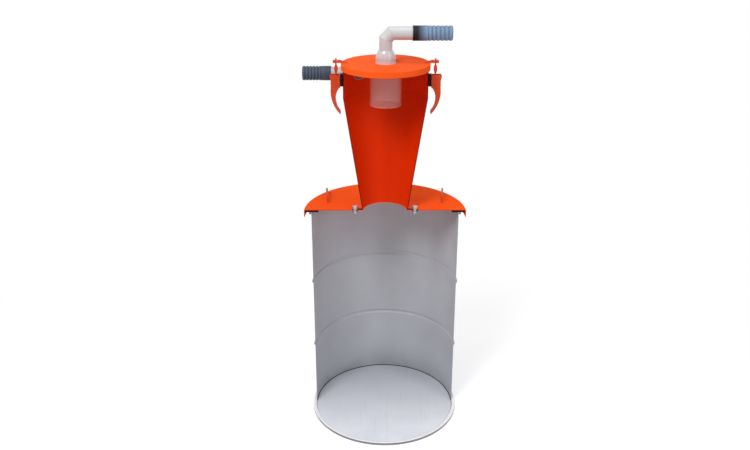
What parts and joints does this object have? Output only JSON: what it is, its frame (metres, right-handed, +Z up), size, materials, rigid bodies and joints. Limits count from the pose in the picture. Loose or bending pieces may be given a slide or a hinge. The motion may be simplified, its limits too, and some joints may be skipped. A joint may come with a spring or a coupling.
{
  "type": "cutaway cyclone dust separator",
  "caption": "Cyclone separator on an open steel drum, cut through the middle to show its inside, with a lift-off drum lid, cone, see-through vortex tube, toggle latches and hose cuffs.",
  "frame": {"origin": "centre of the drum's foot, on the level that it stands on", "axes": "+Z up; the cut is the plane Y = 0 and the kept half is at +Y; -X is the inlet side, +X the outlet side"},
  "size_m": [0.63, 0.616, 1.588],
  "materials": {
    "drum_paint": "satin",
    "orange_paint": "gloss",
    "lid_paint": "satin",
    "latch_paint": "satin",
    "black_rubber": "matte",
    "cuff_rubber": "satin",
    "clear_plastic": "gloss",
    "white_plastic": "gloss",
    "zinc_steel": "satin"
  },
  "bodies": {
    "drum": {"drum_wall": "drum_paint", "drum_top_bead": "drum_paint", "drum_bottom": "drum_paint", "bottom_chime": "drum_paint"},
    "head": {"drum_lid": "lid_paint", "cone_flange": "lid_paint", "lid_handle_left": "lid_paint", "lid_handle_right": "lid_paint", "latch_keeper_left": "lid_paint", "latch_keeper_right": "lid_paint", "cone": "orange_paint", "barrel": "orange_paint", "top_lid": "orange_paint", "latch_base_left": "latch_paint", "latch_base_right": "latch_paint", "drum_gasket": "black_rubber", "lid_seal": "black_rubber", "latch_pad_left": "black_rubber", "latch_pad_right": "black_rubber", "inlet_cuff": "cuff_rubber", "outlet_cuff": "cuff_rubber", "vortex_tube": "clear_plastic", "outlet_socket": "white_plastic", "outlet_elbow": "white_plastic", "inlet_pipe": "white_plastic", "flange_bolts": "zinc_steel", "flange_washers": "zinc_steel", "flange_nuts": "zinc_steel", "lever_rivets_left": "latch_paint", "lever_rivets_right": "latch_paint"},
    "lever_left": {"latch_lever_left": "latch_paint", "link_pin_left": "latch_paint"},
    "link_left": {"link_rod_left": "latch_paint", "adjuster_nut_left": "latch_paint", "cross_pin_left": "latch_paint"},
    "lever_right": {"latch_lever_right": "latch_paint", "link_pin_right": "latch_paint"},
    "link_right": {"link_rod_right": "latch_paint", "adjuster_nut_right": "latch_paint", "cross_pin_right": "latch_paint"}
  },
  "joints": [
    {"name": "head_lift", "type": "slide", "parent": "drum", "child": "head", "axis": [0, 0, 1], "range_m": [0, 0.2]},
    {"name": "lever_left", "type": "hinge", "parent": "head", "child": "lever_left", "pos_m": [-0.183, 0, 1.4], "axis": [0, 1, 0], "range_deg": [0, 110]},
    {"name": "link_left", "type": "hinge", "parent": "lever_left", "child": "link_left", "pos_m": [-0.1808, 0, 1.378], "axis": [0, 1, 0], "range_deg": [-82.5, 0]},
    {"name": "lever_right", "type": "hinge", "parent": "head", "child": "lever_right", "pos_m": [0.183, 0, 1.4], "axis": [0, -1, 0], "range_deg": [0, 110]},
    {"name": "link_right", "type": "hinge", "parent": "lever_right", "child": "link_right", "pos_m": [0.1808, 0, 1.378], "axis": [0, -1, 0], "range_deg": [-82.5, 0]}
  ],
  "couplings": [
    {"joint": "link_left", "follows": "lever_left", "ratio": -0.75},
    {"joint": "link_right", "follows": "lever_right", "ratio": -0.75}
  ]
}
